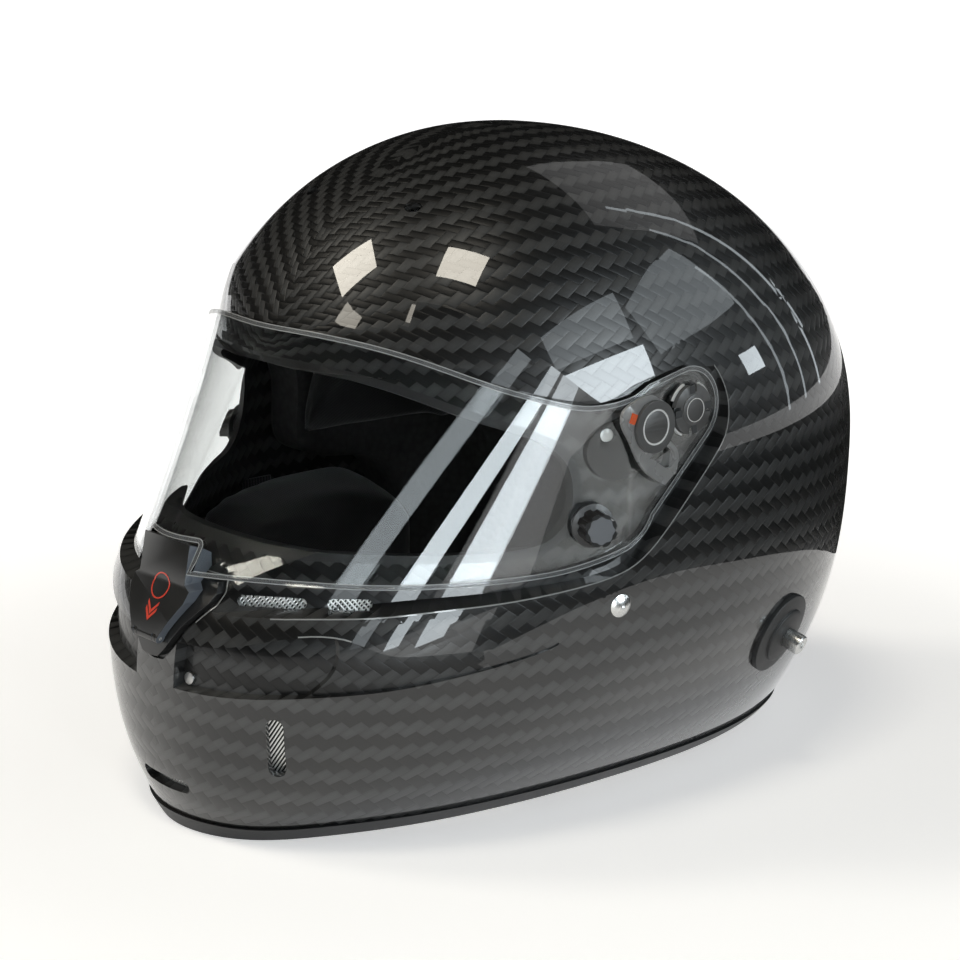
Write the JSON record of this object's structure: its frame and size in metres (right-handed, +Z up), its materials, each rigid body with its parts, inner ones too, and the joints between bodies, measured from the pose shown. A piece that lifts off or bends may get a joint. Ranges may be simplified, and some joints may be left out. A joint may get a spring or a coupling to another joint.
{
  "type": "auto racing helmet",
  "caption": "Full-face auto racing helmet in woven carbon fibre with a clear hinged visor, chin latch, vented chin bar and head-restraint anchor posts.",
  "frame": {"origin": "centre of the bounding box's bottom face, on the ground under the rubber rim trim", "axes": "+Z up, -Y the way the wearer faces, +X the wearer's left"},
  "size_m": [0.2574, 0.3503, 0.2678],
  "materials": {
    "carbon": "clear-coated woven carbon fibre",
    "visor_clear": "clear polycarbonate sheet",
    "rubber_trim": "matt moulded rubber",
    "foam_grey": "closed-cell foam",
    "lining_black": "brushed knitted lining",
    "webbing": "woven black webbing",
    "black_plastic": "moulded, satin",
    "grey_plastic": "moulded, satin",
    "lever_plastic": "moulded, translucent",
    "orange_mark": "painted",
    "steel": "bright turned steel",
    "black_aluminium": "black anodised",
    "mesh_silver": "fine woven wire"
  },
  "bodies": {
    "helmet": {"shell": "carbon", "eyeport_gasket": "rubber_trim", "bottom_trim": "rubber_trim", "impact_liner": "foam_grey", "comfort_liner": "lining_black", "chin_liner": "foam_grey", "neck_roll": "lining_black", "brow_meshes": "mesh_silver", "ledge_meshes": "mesh_silver", "chin_side_meshes": "mesh_silver", "chin_foot_mesh": "mesh_silver", "hinge_screws": "steel", "latch_base": "black_plastic", "latch_pin": "steel", "channel_screws": "steel", "anchor_nuts": "steel", "strap_rivets": "steel", "chin_strap_left": "webbing", "chin_strap_right": "webbing", "hinge_bases": "black_plastic", "hinge_discs": "grey_plastic", "anchor_rings": "black_aluminium", "anchor_posts": "steel", "cheek_pad_left": "lining_black", "cheek_pad_right": "lining_black"},
    "visor": {"visor": "visor_clear", "release_caps": "grey_plastic", "tear_off_studs": "black_plastic"},
    "latch_lever": {"latch_lever": "black_plastic"},
    "release_lever_left": {"release_lever_left": "lever_plastic", "lever_mark_left": "orange_mark"},
    "release_lever_right": {"release_lever_right": "lever_plastic", "lever_mark_right": "orange_mark"},
    "tear_off_knob_left": {"tear_off_knob_left": "black_plastic"},
    "tear_off_knob_right": {"tear_off_knob_right": "black_plastic"},
    "strap_rings": {"strap_rings": "steel"}
  },
  "joints": [
    {"name": "visor_hinge", "type": "hinge", "parent": "helmet", "child": "visor", "pos_m": [0, -0.0067, 0.1684], "axis": [-1, 0, 0], "range_deg": [0, 50]},
    {"name": "latch_hinge", "type": "hinge", "parent": "helmet", "child": "latch_lever", "pos_m": [0, -0.1754, 0.082], "axis": [1, 0, 0], "range_deg": [0, 15]},
    {"name": "release_lever_left_turn", "type": "hinge", "parent": "visor", "child": "release_lever_left", "pos_m": [0.1229, -0.0275, 0.1645], "axis": [-1, 0, 0], "range_deg": [0, 30]},
    {"name": "release_lever_right_turn", "type": "hinge", "parent": "visor", "child": "release_lever_right", "pos_m": [-0.1229, -0.0275, 0.1645], "axis": [-1, 0, 0], "range_deg": [0, 30]},
    {"name": "tear_off_left_turn", "type": "hinge", "parent": "visor", "child": "tear_off_knob_left", "pos_m": [0.1167, -0.052, 0.1285], "axis": [0.915, -0.4023, 0.0305], "range_deg": [0, 180]},
    {"name": "tear_off_right_turn", "type": "hinge", "parent": "visor", "child": "tear_off_knob_right", "pos_m": [-0.1167, -0.052, 0.1285], "axis": [-0.915, -0.4023, 0.0305], "range_deg": [0, 180]},
    {"name": "strap_rings_swing", "type": "hinge", "parent": "helmet", "child": "strap_rings", "pos_m": [-0.01934, -0.0402, 0.012], "axis": [0, 1, 0], "range_deg": [-40, 20]}
  ]
}
